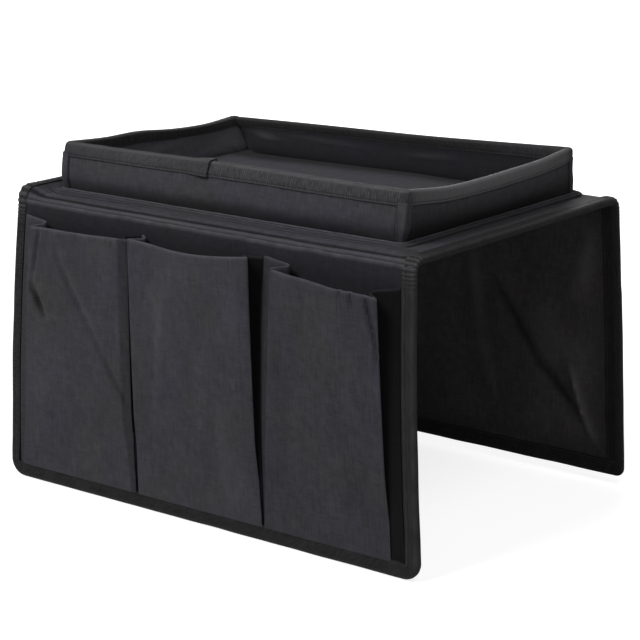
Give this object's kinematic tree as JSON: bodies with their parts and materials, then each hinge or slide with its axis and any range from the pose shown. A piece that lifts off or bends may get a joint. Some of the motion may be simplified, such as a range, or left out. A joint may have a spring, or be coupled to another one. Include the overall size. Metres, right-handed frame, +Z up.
{
  "type": "sofa armrest organizer",
  "caption": "Fabric organizer draped over a sofa arm: a stiffened platform with a soft-walled tray on top, and hinged side flaps with pleated and flat pockets.",
  "frame": {"origin": "the middle of the platform's underside, where it rests on the sofa's arm", "axes": "+X runs along the arm, +Y across it from the pleated front flap to the rear flap, +Z up"},
  "size_m": [0.3398, 0.2519, 0.2259],
  "materials": {
    "cover_fabric": "fine plain weave, charcoal, matt with a slight sheen",
    "lining_fabric": "thin dark lining, matt",
    "binding_tape": "ribbed grosgrain tape, stitched",
    "stiffener_board": "plain grey-brown board, inside the covers"
  },
  "bodies": {
    "root": {"platform_lining": "lining_fabric", "front_fold_lining": "lining_fabric", "rear_fold_lining": "lining_fabric", "platform_board": "stiffener_board", "tray_front_board": "stiffener_board", "tray_rear_board": "stiffener_board", "tray_left_board": "stiffener_board", "tray_right_board": "stiffener_board", "platform_cover": "cover_fabric", "front_fold_cover": "cover_fabric", "rear_fold_cover": "cover_fabric", "tray_floor": "cover_fabric", "tray_base_flange": "cover_fabric", "tray_front_panel": "cover_fabric", "tray_front_lining": "cover_fabric", "tray_rear_panel": "cover_fabric", "tray_rear_lining": "cover_fabric", "tray_left_panel": "cover_fabric", "tray_left_lining": "cover_fabric", "tray_right_panel": "cover_fabric", "tray_right_lining": "cover_fabric", "platform_left_binding": "binding_tape", "platform_right_binding": "binding_tape", "tray_rim_binding": "binding_tape", "front_fold_left_binding": "binding_tape", "front_fold_right_binding": "binding_tape", "rear_fold_left_binding": "binding_tape", "rear_fold_right_binding": "binding_tape", "tray_front_left_corner_binding": "binding_tape", "tray_rear_left_corner_binding": "binding_tape", "tray_front_right_corner_binding": "binding_tape", "tray_rear_right_corner_binding": "binding_tape"},
    "front_flap": {"front_flap_lining": "lining_fabric", "front_flap_board": "stiffener_board", "front_flap_cover": "cover_fabric", "magazine_pocket": "cover_fabric", "left_pocket_left_pleat": "cover_fabric", "left_pocket_right_pleat": "cover_fabric", "middle_pocket_left_pleat": "cover_fabric", "middle_pocket_right_pleat": "cover_fabric", "right_pocket_left_pleat": "cover_fabric", "right_pocket_right_pleat": "cover_fabric", "front_flap_binding": "binding_tape"},
    "left_pocket": {"left_pocket_panel": "cover_fabric"},
    "middle_pocket": {"middle_pocket_panel": "cover_fabric"},
    "right_pocket": {"right_pocket_panel": "cover_fabric"},
    "rear_flap": {"rear_flap_lining": "lining_fabric", "rear_flap_board": "stiffener_board", "rear_flap_cover": "cover_fabric", "rear_pocket": "cover_fabric", "rear_flap_binding": "binding_tape"}
  },
  "joints": [
    {"name": "front_flap_swing", "type": "hinge", "parent": "root", "child": "front_flap", "pos_m": [0, -0.11, 0.0018], "axis": [-1, 0, 0], "range_deg": [-25, 90], "deforming": ["front_fold_cover", "front_fold_lining", "front_fold_left_binding", "front_fold_right_binding"]},
    {"name": "rear_flap_swing", "type": "hinge", "parent": "root", "child": "rear_flap", "pos_m": [0, 0.11, 0.0018], "axis": [1, 0, 0], "range_deg": [-25, 90], "deforming": ["rear_fold_cover", "rear_fold_lining", "rear_fold_left_binding", "rear_fold_right_binding"]},
    {"name": "left_pocket_open", "type": "hinge", "parent": "front_flap", "child": "left_pocket", "pos_m": [0, -0.11972, -0.17767], "axis": [1, 0, 0], "range_deg": [0, 6], "deforming": ["left_pocket_left_pleat", "left_pocket_right_pleat"]},
    {"name": "middle_pocket_open", "type": "hinge", "parent": "front_flap", "child": "middle_pocket", "pos_m": [0, -0.11972, -0.17767], "axis": [1, 0, 0], "range_deg": [0, 6], "deforming": ["middle_pocket_left_pleat", "middle_pocket_right_pleat"]},
    {"name": "right_pocket_open", "type": "hinge", "parent": "front_flap", "child": "right_pocket", "pos_m": [0, -0.11972, -0.17767], "axis": [1, 0, 0], "range_deg": [0, 6], "deforming": ["right_pocket_left_pleat", "right_pocket_right_pleat"]}
  ]
}
